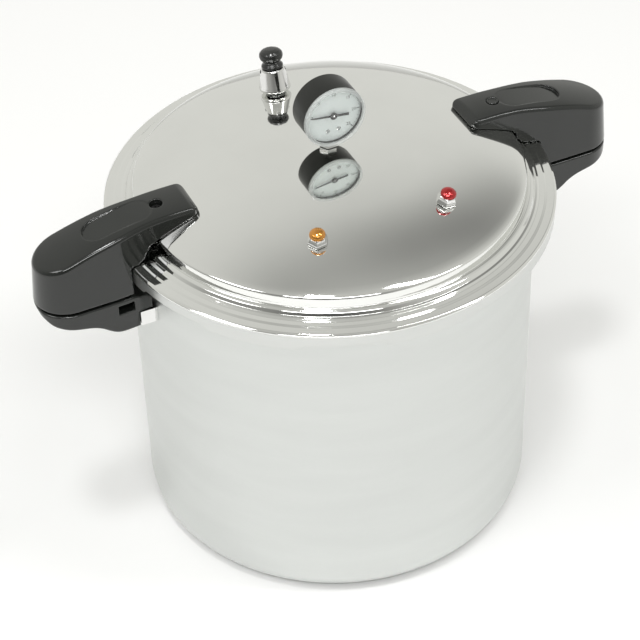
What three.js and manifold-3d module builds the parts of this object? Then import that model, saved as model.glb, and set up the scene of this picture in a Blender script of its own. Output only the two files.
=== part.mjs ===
// Stovetop pressure canner: a straight aluminium pot under a domed bayonet lid, with phenolic side
// handles, a dial gauge, a weighted regulator, a pressure indicator, a safety valve and a rack.
// Millimetres, +Z up. The origin is the centre of the pot's underside. The handles lie along X,
// and the gauge faces the front, -Y.
import * as THREE from "three";
import { mergeVertices } from "three/addons/utils/BufferGeometryUtils.js";
import Module from "manifold-3d";

const wasm = await Module();
wasm.setup();

// ---- Driving dimensions ----
const GAP = 0.3; // between pieces that touch
const FACET = 0.5; // more room where one faceted ring turns in another
const FINE = 48; // sides of the pot and the lid
const SMALL = 16; // sides of small turned pieces
const DOME_STEPS = 6;

const POT = { radius: 160, wall: 3.5, floor: 4.5, rim: 288, corner: 20 };
const LUG = { count: 8, potWidth: 18, lidWidth: 25, potLow: 283, potHigh: 287, potRadius: 171.5 };
const SKIRT = { radius: 176.5, wall: 3.3, low: 281.5, lugLow: 278, lugInner: 163.2, lugHigh: 282 };
const DOME = { top: 334, crown: 620, shoulder: 280, join: 75, edge: 147.5, wall: 3.5 };
const GASKET = { inner: 150.5, outer: 159.8, low: 288.3, high: 295.4 };
const HANDLE = {
  inner: 115,
  outer: 246.2,
  innerHalf: 23,
  half: 26,
  draft: 0.08,
  parting: 269.6,
  potTop: 266.8,
  top: 328,
  droopStart: 132,
  droopRadius: 262,
  crossRadius: 110,
  screw: 143.4,
};
const BRACKET = { outer: 172, half: 24.6, low: 236.8, high: 249.8, tongue: 202, tongueHalf: 10 };
const BRACKET_TONGUE = { low: 240.2, high: 245.2, screw: 191 };
const HANDLE_SCREWS = { lidSeat: 320, potSeat: 238.6, lidHead: 5, potHead: 5.4 };
const RIVET = { y: 14, z: 243.3, shank: 3, head: 5.2, depth: 6 };
const RACK = { radius: 141, top: 14, plate: 1.5, hole: 7, rings: [[0, 1], [48, 6], [98, 14]] };
const GAUGE = { height: 367.1, radius: 25, back: -10.2, front: 11.6, wall: 1.2 };
const SOCKET = { flats: 13, neck: 5.8, shank: 5 };
const GEAR = { module: 0.35, pinion: 10, sector: 75, ahead: 1.6, travel: 6.1, low: 1.6, high: 3.2 };
const VALVE = { flats: 14.4, shank: 4.2, bore: 2.4, head: 6.2, stem: 2.1, nut: 13 };
const INDICATOR_PLACE = { radius: 107, angle: -60.6 };
const SAFETY_PLACE = { radius: 107, angle: -119.9 };
const VENT = { radius: 93, angle: 91.5, flats: 14, shank: 4.2, bore: 1.4, tip: 12.6, nut: 15 };
const REGULATOR = { low: 1.6, shoulder: 20.8, cavity: 5.1, cavityTop: 18.2, bore: 2.3 };
const STEAM_HOLES = { radius: 1.25, height: 16.6, turn: 73 };

const rad = THREE.MathUtils.degToRad;

// The dome is a shallow crown arc that runs, tangent, into a tighter shoulder arc.
const CROWN_TURN = Math.asin(DOME.join / DOME.crown);
const SHOULDER_CENTRE = [
  (DOME.crown - DOME.shoulder) * Math.sin(CROWN_TURN),
  DOME.top - DOME.crown + (DOME.crown - DOME.shoulder) * Math.cos(CROWN_TURN),
];
function domeHeight(r, inward = 0) {
  const crownArc = DOME.crown - inward;
  if (r <= crownArc * Math.sin(CROWN_TURN)) {
    return DOME.top - DOME.crown + Math.sqrt(crownArc ** 2 - r ** 2);
  }
  const [centre, height] = SHOULDER_CENTRE;
  return height + Math.sqrt((DOME.shoulder - inward) ** 2 - (r - centre) ** 2);
}
const underHeight = (r) => domeHeight(r, DOME.wall);
const domeTilt = (r) =>
  r <= DOME.join ? Math.asin(r / DOME.crown) : Math.asin((r - SHOULDER_CENTRE[0]) / DOME.shoulder);

// ---- Materials ----
const finish = (color, roughness, metalness, more = {}) =>
  new THREE.MeshStandardMaterial({ color, roughness, metalness, ...more });
const POLISHED = finish("#d3d4d0", 0.12, 1);
const SATIN = finish("#dcdfda", 0.38, 0.9);
const STEEL = finish("#b9bbbc", 0.25, 1);
const BRASS = finish("#c2a25a", 0.3, 1);
const PHENOLIC = finish("#3f423f", 0.28, 0);
const BLACK = finish("#3a3b38", 0.42, 0.1);
const RUBBER = finish("#2b2b2b", 0.8, 0);
const SILICONE = finish("#d8d5cc", 0.7, 0);
const DIAL_WHITE = finish("#d3dcda", 0.5, 0);
const CLEAR = finish("#eef3f3", 0.05, 0, { transparent: true, opacity: 0.3 });
const RED = finish("#8e1b1b", 0.3, 0.6);
const ORANGE = finish("#b0702f", 0.3, 0.7);

// ---- Solids: closed geometry in, closed geometry out ----
function toSolid(geometry) {
  const bare = geometry.clone();
  bare.deleteAttribute("normal");
  bare.deleteAttribute("uv");
  const merged = mergeVertices(bare, 1e-4);
  return new wasm.Manifold(
    new wasm.Mesh({
      numProp: 3,
      vertProperties: merged.attributes.position.array,
      triVerts: new Uint32Array(merged.index.array),
    }),
  );
}

function toGeometry(manifold) {
  const { vertProperties, triVerts } = manifold.getMesh();
  const geometry = new THREE.BufferGeometry();
  geometry.setAttribute("position", new THREE.BufferAttribute(vertProperties, 3));
  geometry.setIndex(new THREE.BufferAttribute(triVerts, 1));
  return geometry;
}

const combine = (method, first, rest) =>
  toGeometry(rest.reduce((made, next) => made[method](toSolid(next)), toSolid(first)));
const join = (first, ...rest) => combine("add", first, rest);
const cut = (first, ...rest) => combine("subtract", first, rest);
const common = (first, ...rest) => combine("intersect", first, rest);

// An outline of [radius, height] points turned about Z. It runs anticlockwise, on or off the axis.
const turned = (outline, sides = SMALL) =>
  new THREE.LatheGeometry(outline.map(([r, z]) => new THREE.Vector2(r, z)), sides).rotateX(
    Math.PI / 2,
  );
const turnedRing = (outline, sides = SMALL) => turned([...outline, outline[0]], sides);

const rod = (radius, low, high, sides = SMALL) =>
  turned([[0, low], [radius, low], [radius, high], [0, high]], sides);
const tube = (inner, outer, low, high, sides = SMALL) =>
  turnedRing([[inner, low], [outer, low], [outer, high], [inner, high]], sides);

// A hexagonal prism, flats facing +Y and -Y.
const hexagon = (flats, low, high) => rod(flats / Math.sqrt(3), low, high, 6).rotateZ(Math.PI / 6);

const block = ([x0, x1], [y0, y1], [z0, z1]) =>
  new THREE.BoxGeometry(x1 - x0, y1 - y0, z1 - z0).translate(
    (x0 + x1) / 2,
    (y0 + y1) / 2,
    (z0 + z1) / 2,
  );

// A plan outline, a THREE.Shape in X and Y, raised from low to high.
const slab = (shape, low, high, curveSegments = 12) =>
  new THREE.ExtrudeGeometry(shape, {
    depth: high - low,
    bevelEnabled: false,
    curveSegments,
  }).translate(0, 0, low);

// A side outline, a THREE.Shape in X and Z, widened from -half to half in Y.
const sideSlab = (shape, half, curveSegments = 12) =>
  new THREE.ExtrudeGeometry(shape, { depth: 2 * half, bevelEnabled: false, curveSegments })
    .rotateX(Math.PI / 2)
    .translate(0, half, 0);

const polygon = (points) => new THREE.Shape(points.map(([x, y]) => new THREE.Vector2(x, y)));

// A block bounded by two arcs about Z, width degrees wide and centred on the angle.
function sector(inner, outer, low, high, angle, width, segments = 6) {
  const shape = new THREE.Shape();
  shape.absarc(0, 0, outer, rad(angle - width / 2), rad(angle + width / 2), false);
  shape.absarc(0, 0, inner, rad(angle + width / 2), rad(angle - width / 2), true);
  return slab(shape, low, high, segments);
}

function part(parent, name, geometry, material) {
  const mesh = new THREE.Mesh(geometry, material);
  mesh.name = name;
  mesh.geometry.computeVertexNormals();
  parent.add(mesh);
  return mesh;
}

// An arc of a circle as points, from one angle to another in degrees.
function arc(centreR, centreZ, radius, from, to, steps) {
  return Array.from({ length: steps + 1 }, (_, i) => {
    const angle = rad(from + ((to - from) * i) / steps);
    return [centreR + radius * Math.cos(angle), centreZ + radius * Math.sin(angle)];
  });
}

// ---- Pot: a straight drawn wall, eight outward lugs under the rim ----
function potBody() {
  const inner = POT.radius - POT.wall;
  const innerCorner = POT.corner - POT.wall;
  const outline = [
    [0, 0],
    ...arc(POT.radius - POT.corner, POT.corner, POT.corner, -90, 0, 5),
    [POT.radius, POT.rim],
    [inner, POT.rim],
    ...arc(inner - innerCorner, POT.floor + innerCorner, innerCorner, 0, -90, 4),
    [0, POT.floor],
  ];
  const lugs = Array.from({ length: LUG.count }, (_, i) =>
    sector(
      POT.radius - 1.5,
      LUG.potRadius,
      LUG.potLow,
      LUG.potHigh,
      (i * 360) / LUG.count,
      LUG.potWidth,
    ),
  );
  const bores = [-1, 1].flatMap((side) =>
    [-RIVET.y, RIVET.y].map((y) =>
      rod(RIVET.shank + GAP, 140, 170, 10)
        .rotateY((side * Math.PI) / 2)
        .translate(0, y, RIVET.z),
    ),
  );
  return cut(join(turned(outline, FINE), ...lugs), ...bores);
}

function rackPlate() {
  const under = RACK.top - RACK.plate;
  const dish = turned(
    [
      [0, under],
      [RACK.radius - RACK.plate, under],
      [RACK.radius - RACK.plate, POT.floor + GAP],
      [RACK.radius, POT.floor + GAP],
      [RACK.radius, RACK.top],
      [0, RACK.top],
    ],
    32,
  );
  const holes = RACK.rings.flatMap(([ring, count]) =>
    Array.from({ length: count }, (_, i) => {
      const angle = (i * 2 * Math.PI) / count;
      return rod(RACK.hole, under - 1, RACK.top + 1, 8).translate(
        ring * Math.cos(angle),
        ring * Math.sin(angle),
        0,
      );
    }),
  );
  return cut(dish, ...holes);
}

// ---- Lid: a thick pressed dome, stepped rim and skirt with eight inward lugs ----
// The rim's outer steps from the dome's edge out to the skirt, which run downhill.
const RIM_STEPS = [
  [150, 309.3],
  [151.8, 307.6],
  [152.9, 305],
  [153.5, 302],
  [154, 300.1],
  [155, 300],
  [157, 299.2],
  [158.6, 297.6],
  [159.6, 295.9],
  [161.5, 295.4],
  [162.9, 294.4],
  [167, 294.2],
  [169.4, 293.2],
  [174, 293],
  [175.6, 292.6],
  [SKIRT.radius, 291.4],
];

const domeArc = (height, edge, steps, grow = 0) =>
  Array.from({ length: steps + 1 }, (_, i) => {
    const r = (edge * (steps - i)) / steps;
    return [r, height(r) + grow];
  });

function lidBlank() {
  const skirtInner = SKIRT.radius - SKIRT.wall;
  const underside = [
    ...domeArc(underHeight, 145, DOME_STEPS).reverse(),
    [148, 300.5],
    [148, 290.5],
    [GASKET.inner - GAP - FACET, 290.5],
    [GASKET.inner - GAP - FACET, 296.2],
    [155.8, 296],
    [159.4, 293.2],
    [161.2, 290.4],
    [172, 289.8],
    [skirtInner, 288.6],
  ];
  const outside = [
    [skirtInner, SKIRT.low],
    [SKIRT.radius, SKIRT.low],
    ...[...RIM_STEPS].reverse(),
    ...domeArc(domeHeight, DOME.edge, DOME_STEPS),
  ];
  return turned([...underside, ...outside], FINE);
}

// Everything under the lid's outer surface, grown by the gap: what a handle or fitting stands clear of.
const lidEnvelope = () =>
  turned(
    [
      [0, HANDLE.parting - 5],
      [SKIRT.radius + 1, HANDLE.parting - 5],
      ...[...RIM_STEPS].reverse().map(([r, z]) => [r + GAP + 0.4, z + GAP + 0.2]),
      ...domeArc(domeHeight, DOME.edge, DOME_STEPS, GAP),
    ],
    FINE,
  );

// Everything above the lid's underside, for the nuts beneath it.
const aboveUnderside = () =>
  turned(
    [
      ...domeArc(underHeight, 144.6, DOME_STEPS, -GAP).reverse(),
      [147.6, 300.5],
      [147.6, 340],
      [0, 340],
    ],
    FINE,
  );

function lidShell() {
  const lugs = Array.from({ length: LUG.count }, (_, i) =>
    sector(
      SKIRT.lugInner,
      SKIRT.radius,
      SKIRT.lugLow,
      SKIRT.lugHigh,
      (i * 360) / LUG.count,
      LUG.lidWidth,
      5,
    ),
  );
  const bores = [
    rod(SOCKET.shank + GAP, DOME.top - 20, DOME.top + 7),
    domeBore(VENT, VENT.shank),
    domeBore(INDICATOR_PLACE, VALVE.shank),
    domeBore(SAFETY_PLACE, VALVE.shank),
    ...[-1, 1].map((side) => rod(3.5, 280, 330).translate(side * HANDLE.screw, 0, 0)),
  ];
  return cut(join(lidBlank(), ...lugs), ...bores);
}

function gasket() {
  const { inner, outer, low, high } = GASKET;
  const lip = 3.2;
  return turnedRing(
    [
      [inner + 1, low],
      [outer - 1, low],
      [outer - 1.2, high - 2.8],
      [outer - 4.6, high],
      [inner, high],
      [inner, low + lip],
    ],
    FINE,
  );
}

// ---- Handles: the +X one is drawn, and the -X one is the same moulding turned half round ----
// Plan: a round outer end, nearly straight flanks and a blunt inner end.
function handlePlan(inset = 0) {
  const { inner, outer, innerHalf, half } = HANDLE;
  const shape = new THREE.Shape();
  const tip = outer - half;
  const start = inner + inset;
  const corner = 8;
  const narrow = innerHalf - inset;
  const wide = half - inset;
  shape.moveTo(start + corner, -narrow);
  shape.lineTo(150, -narrow);
  shape.quadraticCurveTo(172, -wide, 190, -wide);
  shape.lineTo(tip, -wide);
  shape.absarc(tip, 0, wide, -Math.PI / 2, Math.PI / 2, false);
  shape.lineTo(190, wide);
  shape.quadraticCurveTo(172, wide, 150, narrow);
  shape.lineTo(start + corner, narrow);
  shape.quadraticCurveTo(start, narrow, start, narrow - corner);
  shape.lineTo(start, corner - narrow);
  shape.quadraticCurveTo(start, -narrow, start + corner, -narrow);
  return shape;
}

// The lid handle's top: level near the dome, drooping outwards, and rounded from side to side.
const crown = (x, y = 0) =>
  HANDLE.top -
  Math.max(0, x - HANDLE.droopStart) ** 2 / (2 * HANDLE.droopRadius) -
  y ** 2 / (2 * HANDLE.crossRadius);

// A block under the crown, its upper face bent to the crown's height.
function crownBlock() {
  const { inner, outer, half, parting } = HANDLE;
  const [x0, x1] = [inner - 1, outer + 1];
  const height = HANDLE.top - parting;
  const geometry = new THREE.BoxGeometry(x1 - x0, 2 * half + 2, height, 8, 4, 1);
  geometry.translate((x0 + x1) / 2, 0, parting + height / 2);
  const position = geometry.attributes.position;
  for (let i = 0; i < position.count; i += 1) {
    if (position.getZ(i) > parting + 1) {
      position.setZ(i, crown(position.getX(i), position.getY(i)));
    }
  }
  return geometry;
}

// The lid handle's plan raised to a block whose walls lean in towards its top.
function draftedPlan(top) {
  const { outer, half, parting, draft } = HANDLE;
  const tip = outer - half;
  const geometry = slab(handlePlan(), parting, top, 10);
  const share = 1 - (draft * (top - parting)) / half;
  const position = geometry.attributes.position;
  for (let i = 0; i < position.count; i += 1) {
    if (position.getZ(i) > parting + 1) {
      const x = position.getX(i);
      position.setX(i, x > tip ? tip + (x - tip) * share : x);
      position.setY(i, position.getY(i) * share);
    }
  }
  return geometry;
}

// Side of the lid handle: a deep outer end, and a slab that overhangs the dome.
function lidHandleSide() {
  const { inner, outer, parting } = HANDLE;
  return polygon([
    [155, parting - 2],
    [155, 305],
    [128, 314.6],
    [118, 316],
    [inner, 318.6],
    [inner, 322.5],
    [119, 327],
    [124, 340],
    [outer + 1, 340],
    [outer + 1, parting - 2],
  ]);
}

// A long shallow scoop for the thumb, sunk into the crown of the lid handle.
function scoop() {
  const ends = [160, 191];
  const half = 12;
  const depth = 2.2;
  const shape = new THREE.Shape();
  shape.absarc(ends[1], 0, half, -Math.PI / 2, Math.PI / 2, false);
  shape.absarc(ends[0], 0, half, Math.PI / 2, (3 * Math.PI) / 2, false);
  const floor = polygon([
    [ends[0] - half, crown(ends[0] - half, half) - 0.1],
    [ends[1] + half, crown(ends[1] + half) - depth],
    [ends[1] + half, 340],
    [ends[0] - half, 340],
  ]);
  return common(slab(shape, 290, 340, 8), sideSlab(floor, half + 1));
}

function lidHandle() {
  const { parting, screw, half } = HANDLE;
  const body = common(draftedPlan(340), sideSlab(lidHandleSide(), half + 2), crownBlock());
  const neck = block([150, 173.5], [13, half + 5], [parting - 2, 308]);
  const counterbore = join(
    rod(HANDLE_SCREWS.lidHead, HANDLE_SCREWS.lidSeat, 335, 16),
    rod(3.4, 300, 322, 16),
    rod(8.3, 290, 317.4, 16),
  );
  return cut(body, lidEnvelope(), neck, scoop(), counterbore.translate(screw, 0, 0));
}

// Side of the pot handle: flat on top, hooked over the bracket, and waved along its underside.
function potHandleSide() {
  const { outer, potTop } = HANDLE;
  const { outer: bracketOuter, low, high } = BRACKET;
  return polygon([
    [bracketOuter + GAP, low],
    [184, 236.9],
    [191, 237.8],
    [197, 241.2],
    [203, 245.8],
    [210, 249.2],
    [221, 252],
    [231, 254],
    [239, 256.7],
    [outer - 1.6, 261.5],
    [outer - 0.6, potTop - 1.5],
    [outer - 2.2, potTop],
    [177, potTop],
    [166, 264.4],
    [161, 261],
    [161, high + GAP],
    [bracketOuter + GAP, high + GAP],
  ]);
}

function potHandle() {
  const { half } = HANDLE;
  const { tongue, tongueHalf } = BRACKET;
  const { low, high, screw } = BRACKET_TONGUE;
  const body = common(slab(handlePlan(), 230, 272, 10), sideSlab(potHandleSide(), half + 2));
  const socket = block(
    [BRACKET.outer - 2, tongue + GAP],
    [-tongueHalf - GAP, tongueHalf + GAP],
    [low - GAP, high + 6],
  );
  const window = block([176, 189], [12, half + 5], [254.6, 262.6]);
  const screwHole = join(
    rod(3, 230, low + 3, 16),
    rod(HANDLE_SCREWS.potHead, 225, HANDLE_SCREWS.potSeat, 16),
  );
  return cut(
    body,
    rod(POT.radius + GAP, 200, 300, FINE),
    socket,
    window,
    screwHole.translate(screw, 0, 0),
  );
}

function bracket() {
  const { outer, half, low, high, tongue, tongueHalf } = BRACKET;
  const stirrup = block([140, outer], [-half, half], [low, high]);
  const arm = block(
    [outer - 4, tongue],
    [-tongueHalf, tongueHalf],
    [BRACKET_TONGUE.low, BRACKET_TONGUE.high],
  );
  const tapped = rod(2.9, 230, 260, 12).translate(BRACKET_TONGUE.screw, 0, 0);
  const bores = [-RIVET.y, RIVET.y].map((y) =>
    rod(RIVET.shank + GAP, 140, POT.radius + RIVET.depth + GAP, 10)
      .rotateY(Math.PI / 2)
      .translate(0, y, RIVET.z),
  );
  return cut(join(stirrup, arm), rod(POT.radius + GAP, 200, 300, FINE), tapped, ...bores);
}

// A rivet along +X: a low domed head inside the pot, and a shank that ends in the bracket.
const rivet = () =>
  turned([
    [0, 152.6],
    [3, 152.8],
    [RIVET.head, 154.2],
    [RIVET.head, 154.8],
    [RIVET.shank, 154.8],
    [RIVET.shank, POT.radius + RIVET.depth],
    [0, POT.radius + RIVET.depth],
  ], 10).rotateY(Math.PI / 2);

// A cheese-head screw along +Z with its underside at 0 and a cross slot in its top.
const screw = (head, thick, shank, length) =>
  cut(
    turned(
      [
        [0, -length],
        [shank, -length],
        [shank, 0],
        [head, 0],
        [head, thick - 0.5],
        [head - 0.8, thick],
        [0, thick],
      ],
      12,
    ),
    block([-head * 0.6, head * 0.6], [-0.5, 0.5], [thick - 1.2, thick + 1]),
    block([-0.5, 0.5], [-head * 0.6, head * 0.6], [thick - 1.2, thick + 1]),
  );

// ---- Lid fittings ----
// A group whose origin lies on the dome's outer surface, with its +Z along the outward normal.
function onDome({ radius, angle }) {
  const seat = new THREE.Group();
  seat.rotation.order = "ZYX";
  seat.rotation.set(0, domeTilt(radius), rad(angle));
  seat.position.set(radius * Math.cos(rad(angle)), radius * Math.sin(rad(angle)), domeHeight(radius));
  return seat;
}

// A bore through the dome along its normal.
function domeBore(place, radius) {
  const seat = onDome(place);
  seat.updateMatrix();
  return rod(radius + GAP, -9, 5).applyMatrix4(seat.matrix);
}

const seatGap = 0.5; // from the dome's centre line to a flange, which clears the facets too
const underGap = DOME.wall + 0.5;

function hexNut(flats, bore, thick) {
  return cut(hexagon(flats, -underGap - thick, -underGap), rod(bore, -30, 5));
}

// The stud that carries a lid handle: an upright boss on the dome, riveted over on the inside.
function handleStud() {
  const x = HANDLE.screw;
  const seat = domeHeight(x);
  const under = underHeight(x);
  const boss = cut(rod(8, 290, 317, 18).translate(x, 0, 0), lidEnvelope());
  const shank = rod(3.2, under - 2.6, 315.5, 18).translate(x, 0, 0);
  const tail = cut(rod(4.2, under - 3.6, 330, 18).translate(x, 0, 0), aboveUnderside());
  const tapped = rod(2.9, seat + 0.8, 325, 14).translate(x, 0, 0);
  return cut(join(boss, shank, tail), tapped);
}

function ventAndRegulator() {
  const seat = onDome(VENT);
  lid.add(seat);
  const { flats, shank, bore, tip, nut } = VENT;
  const pipe = join(
    hexagon(flats, seatGap, REGULATOR.low - 0.4),
    turned([[0, -15], [shank, -15], [shank, tip - 4], [2.6, tip], [0, tip]]),
  );
  part(seat, "vent_pipe", cut(pipe, rod(bore, -20, 30, 12)), STEEL);
  part(seat, "vent_pipe_nut", hexNut(nut, shank + GAP, 6), STEEL);
  regulator(seat);
}

// The weighted regulator stands on the vent pipe: an insert seats on the pipe's bore, and the
// weight with its knob turns freely about it.
function regulator(seat) {
  const { low, shoulder, cavity, cavityTop, bore } = REGULATOR;
  const weight = turnedRing(
    [
      [cavity, low],
      [9, low],
      [11.4, low + 0.7],
      [12.5, low + 1.8],
      [12.6, low + 3.2],
      [12.2, low + 5],
      [9.7, shoulder - 1],
      [9.1, shoulder],
      [bore, shoulder],
      [bore, cavityTop],
      [cavity, cavityTop],
    ],
    20,
  );
  const vents = [0, 1].map((turn) =>
    rod(STEAM_HOLES.radius, -20, 20, 8)
      .rotateX(Math.PI / 2)
      .rotateZ((turn * Math.PI) / 2 + rad(STEAM_HOLES.turn))
      .translate(0, 0, STEAM_HOLES.height),
  );
  part(seat, "regulator_weight", cut(weight, ...vents), POLISHED);
  const insertTop = shoulder + 3.4;
  const flange = cavityTop - 2.6;
  const insert = turned([
    [0, VENT.tip + GAP],
    [1.6, VENT.tip + GAP],
    [2.4, VENT.tip + 2],
    [2.4, flange - 0.6],
    [cavity - GAP, flange - 0.6],
    [cavity - GAP, flange + 1.2],
    [bore - GAP, flange + 1.6],
    [bore - GAP, insertTop],
    [0, insertTop],
  ]);
  part(seat, "regulator_insert", insert, STEEL);
  const base = shoulder + GAP;
  const knob = turned(
    [
      [0, insertTop + GAP],
      [bore, insertTop + GAP],
      [bore, base],
      [7.8, base],
      [8.8, base + 1.2],
      [8.6, base + 2.4],
      [6.9, base + 4.8],
      [7.4, base + 6],
      [9.2, base + 8.4],
      [9.6, base + 10.4],
      [9, base + 12.8],
      [7, base + 14.8],
      [4, base + 15.8],
      [0, base + 16.2],
    ],
    18,
  );
  part(seat, "regulator_knob", knob, BLACK);
}

const SHANK_LOW = -14;
const CLIP_TOP = -21.4;

// A pop-up pin in a hexagonal housing. The coloured head stands on the housing at rest.
function valve(name, place, colour) {
  const { flats, shank, bore, head, stem, nut } = VALVE;
  const seat = onDome(place);
  lid.add(seat);
  const housing = join(
    hexagon(flats, seatGap, 3),
    turned([
      [0, SHANK_LOW],
      [shank, SHANK_LOW],
      [shank, 1],
      [7.6, 2.8],
      [6.3, 6.8],
      [5.7, 7.4],
      [0, 7.4],
    ]),
  );
  part(seat, `${name}_housing`, cut(housing, rod(bore, -30, 30)), POLISHED);
  part(seat, `${name}_nut`, hexNut(nut, shank + GAP, 5.5), STEEL);
  const crownLow = 7.7;
  const foot = CLIP_TOP - 2.4;
  const pin = turned([
    [0, foot],
    [stem, foot],
    [stem, crownLow],
    [head - 0.4, crownLow],
    [head, crownLow + 1],
    [head * 0.9, crownLow + 2.8],
    [head * 0.6, crownLow + 4.2],
    [0, crownLow + 4.8],
  ]);
  part(seat, `${name}_pin`, pin, colour);
  part(seat, `${name}_clip`, tube(stem + GAP, 4.2, CLIP_TOP - 1.2, CLIP_TOP), STEEL);
  return seat;
}

// The pressure indicator carries a ring that seals against its housing when the pin is up.
function indicator() {
  const seat = valve("indicator", INDICATOR_PLACE, RED);
  const ring = tube(VALVE.stem + GAP, 4.1, CLIP_TOP + GAP, CLIP_TOP + 1.9);
  part(seat, "indicator_seal", ring, SILICONE);
}

// The safety valve is held down by a spring between its housing and the clip on its pin.
function safetyValve() {
  const seat = valve("safety_valve", SAFETY_PLACE, ORANGE);
  const wire = 0.45;
  const coil = 3.2;
  const turns = 4;
  const low = CLIP_TOP + GAP + wire;
  const rise = SHANK_LOW - GAP - wire - low;
  class Helix extends THREE.Curve {
    getPoint(t, target = new THREE.Vector3()) {
      const angle = 2 * Math.PI * turns * t;
      return target.set(coil * Math.cos(angle), coil * Math.sin(angle), low + rise * t);
    }
  }
  const section = new THREE.Shape().absarc(0, 0, wire, 0, 2 * Math.PI, false);
  const spring = new THREE.ExtrudeGeometry(section, {
    extrudePath: new Helix(),
    steps: turns * 9,
    curveSegments: 2,
    bevelEnabled: false,
  });
  part(seat, "safety_valve_spring", spring, STEEL);
}

// ---- Dial gauge, drawn facing +Z with +Y up, then stood upright to face the front ----
const rim = (angle, r) => [r * Math.cos(rad(angle)), r * Math.sin(rad(angle))];

// Teeth on a pitch circle: the angles of the tooth centres, with narrow trapezoid teeth.
function toothPoints(centres, pitchRadius, pitchAngle) {
  const addendum = 0.8 * GEAR.module;
  const dedendum = 1.2 * GEAR.module;
  return centres.flatMap((angle) => [
    rim(angle - 0.26 * pitchAngle, pitchRadius - dedendum),
    rim(angle - 0.1 * pitchAngle, pitchRadius + addendum),
    rim(angle + 0.1 * pitchAngle, pitchRadius + addendum),
    rim(angle + 0.26 * pitchAngle, pitchRadius - dedendum),
  ]);
}

function gaugeMovement(gauge) {
  const pinionRadius = (GEAR.module * GEAR.pinion) / 2;
  const sectorRadius = (GEAR.module * GEAR.sector) / 2;
  const pitch = 360 / GEAR.sector;
  const meshAngle = 45;
  const pivot = rim(meshAngle + 180, pinionRadius + sectorRadius);
  const spindle = 0.85;
  const plateLow = -1.8;
  const plateHigh = -0.4;
  const dialBack = 8.6;
  const dialFront = 9.4;
  const screws = [-4.5, 4.5];
  const screwY = -13.5;

  const toothCount = Math.round(GEAR.travel + 2 * GEAR.ahead);
  const centres = Array.from({ length: toothCount + 1 }, (_, i) =>
    meshAngle + (Math.floor(GEAR.ahead) + i - toothCount) * pitch,
  );
  const web = slab(
    polygon([[-1.6, 0.4], [0.4, -1.6], ...toothPoints(centres, sectorRadius, pitch)]),
    GEAR.low,
    GEAR.high,
  );
  const tail = block([-1, 1], [-6, 0], [GEAR.low, GEAR.high]).rotateZ(rad(meshAngle - 90));
  const sectorGear = join(
    web,
    tail,
    rod(2.1, GEAR.low, GEAR.high, 14),
    rod(spindle, plateLow - 1, GEAR.high, 12),
  ).translate(...pivot, 0);
  part(gauge, "gauge_sector_gear", sectorGear, BRASS);

  const pinionCentres = Array.from({ length: GEAR.pinion }, (_, i) =>
    meshAngle + 180 + ((i + 0.5) * 360) / GEAR.pinion,
  );
  const pinionTeeth = slab(
    polygon(toothPoints(pinionCentres, pinionRadius, 360 / GEAR.pinion)),
    GEAR.low - 0.5,
    GEAR.high + 0.5,
  );
  const arbor = turned(
    [[0, plateLow - 1], [spindle, plateLow - 1], [spindle, 11.9], [0.5, 12.2], [0, 12.2]],
    12,
  );
  part(gauge, "gauge_arbor", join(pinionTeeth, arbor), BRASS);

  const plate = slab(
    polygon([[-14, -12.2], [-11, -15.4], [6.4, -15.4], [6.4, -6], [3, 3.4], [-4, 3.4], [-13.6, -6.6]]),
    plateLow,
    plateHigh,
  );
  const posts = screws.map((x) => rod(1.8, plateHigh - 0.6, dialBack - GAP, 12).translate(x, screwY, 0));
  const bearings = [[0, 0], pivot].map(([x, y]) => rod(spindle + GAP, -5, 2, 12).translate(x, y, 0));
  const tapped = screws.map((x) => rod(1.1, 3.8, 12, 10).translate(x, screwY, 0));
  part(gauge, "gauge_movement_plate", cut(join(plate, ...posts), ...bearings, ...tapped), BRASS);

  const holes = screws.map((x) => rod(1.1, 5, 12, 10).translate(x, screwY, 0));
  const dial = cut(rod(23.4, dialBack, dialFront, 32), rod(1.7, 5, 12, 16), ...holes);
  part(gauge, "gauge_dial", dial, DIAL_WHITE);
  for (const [index, x] of screws.entries()) {
    const name = `gauge_dial_screw_${index + 1}`;
    const made = part(gauge, name, screw(1.7, 0.7, 0.8, 4.6), STEEL);
    made.position.set(x, screwY, dialFront + GAP);
  }

  // The pointer rests on zero, at the left, and is driven clockwise.
  const restAngle = 172;
  const needle = slab(
    polygon([[-12.8, -1.1], [0, -0.8], [15.5, -0.5], [19.6, 0], [15.5, 0.5], [0, 0.8], [-12.8, 1.1]]),
    10.7,
    11.2,
  ).rotateZ(rad(restAngle));
  const pointer = cut(join(needle, rod(2.9, 10.7, 11.7, 20)), rod(spindle + GAP, 8, 14, 12));
  part(gauge, "gauge_pointer", pointer, BLACK);
}

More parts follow.
